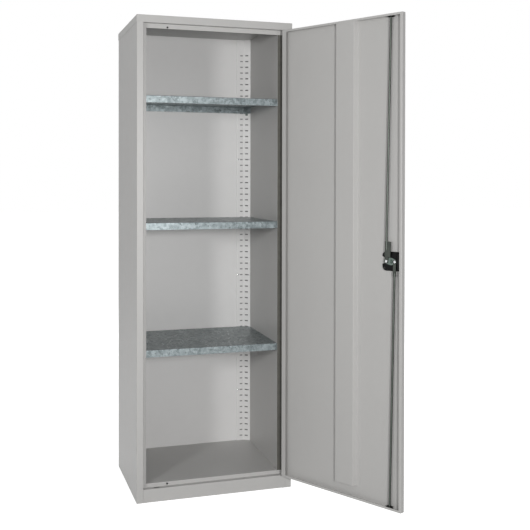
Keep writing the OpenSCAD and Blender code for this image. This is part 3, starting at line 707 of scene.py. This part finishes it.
# %% The painted shade strip
# Painted shade: a dark grey strip laid in the rebate, where it lies in shade.
painted_shade_grey = moulded("painted_shade_strip_grey", srgb(92, 91, 86), 0.8, grain=700.0, depth=0.04 * MM, shine=0.2)
strip_bottom, strip_top = upright_low[2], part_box("header_rail")[0][2]
past_edge = 4 * MM
stop_x = (stop_edge - past_edge, post_wall - 0.5 * MM)
stop_y = (stop_face - 0.7 * MM, stop_face)
wall_x = (post_wall - 0.6 * MM, post_wall - 0.1 * MM)
wall_y = (panel_front + 4 * MM, stop_face - 1 * MM)
hinge_heights = vertices_of("hinge_frame_leaves")[:, 2]
shade_strip_skins = [bar(*stop_x, *stop_y, strip_bottom, strip_top)]
for low_z, high_z in clear_of(hinge_heights, strip_bottom, strip_top, 2 * MM):
    shade_strip_skins.append(bar(*wall_x, *wall_y, low_z, high_z))
make_piece("rebate_painted_shade", shade_strip_skins, painted_shade_grey, "carcass")

# %% [markdown]
# ## The inner side sheets
# In the picture the inner wall runs straight from the slotted leg of the rear upright to the door stop,
# nearer the middle than the outer side is. A flat sheet on each side closes that stretch from floor to
# ceiling. On the left it starts behind the stop flange, clear of the lock when the door is closed. A
# plane without thickness would do from the front, but it would be open at its edges, so each sheet is a
# thin prism.

# %% A sheet from each rear upright to its stop
upright = vertices_of("right_rear_upright")
leg_front = upright[:, 1].min()
leg_end = upright[upright[:, 1] < leg_front + 0.5 * MM][:, 0].min()
left_stop = vertices_of("left_side_panel")[:, 0].max()


def inner_sheet(side, front_x, front_y):
    """A plan outline 0.8 mm thick from the front edge back to the upright, on the right (1) or left (-1),
    carried from just over the floor to just under the ceiling."""
    thick, gap = 0.8 * MM * side, 0.5 * MM
    rear_x, rear_y = side * leg_end, leg_front - 0.2 * MM
    ring = [(front_x, front_y), (front_x + thick, front_y), (rear_x + thick, rear_y), (rear_x, rear_y)]
    return prism(ring, upright_low[2] + gap, upright_high[2] - gap)


# The right sheet starts just behind the edge of the painted shade strip, the left one behind its
# own stop flange.
sheets = [
    inner_sheet(1, stop_edge - past_edge, stop_face + 0.1 * MM),
    inner_sheet(-1, left_stop - 8 * MM, stop_face + 1.2 * MM),
]
make_piece("inner_side_sheets", sheets, light_grey, "carcass")

# %% [markdown]
# ## Floor and background
# The picture is a cut-out on white. The floor and the world show white to the camera and in reflections,
# and the light that falls on the locker stays plain and soft. A bare white world would light the locker
# too and wash it out. The floor adds its own lit white to a steady glow, so only the shadow at the foot
# is darker than the background.

# %% Floor and world


def floor_sheet(size, glow, white):
    """A sheet whose colour is its glow, seen from the camera, plus its white as the lamps light it."""
    bpy.ops.mesh.primitive_plane_add(size=size)
    floor = bpy.context.object
    floor.name = "studio_floor"
    finish = Finish("studio_floor", Roughness=1.0, Specular_IOR_Level=0.0, Emission_Strength=1.0)
    finish.shader.inputs["Base Color"].default_value = (white, white, white, 1)
    finish.vary(Emission_Color=finish.background_seen() * glow)
    floor.data.materials.append(finish.material)


def shade_under(width, depth, lift, grey):
    """A plain sheet just over the floor, inside the plinth, where a catch would show the white glow."""
    bpy.ops.mesh.primitive_plane_add(size=1.0)
    patch = bpy.context.object
    patch.name = "shade_under"
    patch.scale = (width, depth, 1.0)
    patch.location = (0.0, 0.0, lift)
    finish = Finish("shade_under", Roughness=1.0, Specular_IOR_Level=0.0)
    finish.shader.inputs["Base Color"].default_value = (grey, grey, grey, 1)
    patch.data.materials.append(finish.material)


def pale_world(light):
    """A world of strength 1 to rays that look at the background, and of the given strength as light."""
    world = bpy.data.worlds.new("studio_world")
    bpy.context.scene.world = world
    world.use_nodes = True
    sky = Network(world.node_tree)
    sockets = {"Value": sky.background_seen(), "To Min": light, "To Max": 1.0}
    background = world.node_tree.nodes["Background"]
    sky.feed(background.inputs["Color"], (1, 1, 1, 1))
    sky.feed(background.inputs["Strength"], sky.add("ShaderNodeMapRange", {}, sockets, "Result"))


floor_sheet(size=60.0, glow=0.92, white=0.5)
shade_under(width=0.54, depth=0.36, lift=2 * MM, grey=0.3)
pale_world(light=0.23)
print("floor and world are white to the camera")

# %% [markdown]
# ## Lamps
# The shadow line along the lip of the door shows where the main light stood: beside the camera, a little
# to its right. The edge where the back turns brighter shows a second one further left, which also lights
# the outer side. A third stands behind and above, out of the picture, so that views from the back are
# lit. A sun lamp would give hard shadows, so each is a round sheet of light.

# %% Three soft lamps


def soft_lamp(name, place, target, size, power):
    """A round lamp of that size in metres and power in watts, tipped and turned to face its target."""
    lamp = bpy.data.lights.new(name, "AREA")
    lamp.shape = "DISK"
    lamp.size = size
    lamp.energy = power
    holder = bpy.data.objects.new(name, lamp)
    bpy.context.scene.collection.objects.link(holder)
    holder.location = place
    aim = np.array(target) - np.array(place)
    flat = float(np.hypot(aim[0], aim[1]))
    tip, turn = float(np.arctan2(flat, -aim[2])), float(np.arctan2(-aim[0], aim[1]))
    holder.rotation_euler = (tip, 0.0, turn)
    print(name, "stands", round(float(np.linalg.norm(aim)), 2), "m away")


soft_lamp("key_lamp", (-0.25, -3.95, 1.3), (0.0, 0.0, 0.9), size=0.5, power=65.0)
soft_lamp("side_lamp", (-3.0, -3.3, 1.6), (0.0, 0.0, 0.95), size=0.5, power=52.0)
soft_lamp("back_lamp", (1.2, 3.4, 3.0), (0.0, 0.0, 0.9), size=2.0, power=90.0)

# %% [markdown]
# ## Camera
# Twelve corners of the carcass and door, found in the picture, fix where the camera stood: a little to
# the left, 3.4 m in front and 1.2 m up. Placing it by eye would leave every edge a little off. Its lens
# shift keeps the uprights vertical.

# %% The camera of the picture
sensor = 36.0
picture = 530
focal_pixels = 863.46
centre_pixels = (257.97, 188.77)
camera_data = bpy.data.cameras.new("camera")
camera_data.sensor_width = sensor
camera_data.lens = focal_pixels * sensor / picture
camera_data.shift_x = (picture / 2 - centre_pixels[0]) / picture
camera_data.shift_y = (centre_pixels[1] - picture / 2) / picture
camera = bpy.data.objects.new("camera", camera_data)
camera.location = (-0.8538, -3.4314, 1.2099)
camera.rotation_euler = tuple(np.radians([89.4720, -0.0982, -17.6772]))
bpy.context.scene.collection.objects.link(camera)
bpy.context.scene.camera = camera
bpy.context.scene.view_settings.view_transform = "Standard"
print("lens", round(camera_data.lens, 2), "mm")
print("shift", round(camera_data.shift_x, 4), round(camera_data.shift_y, 4))
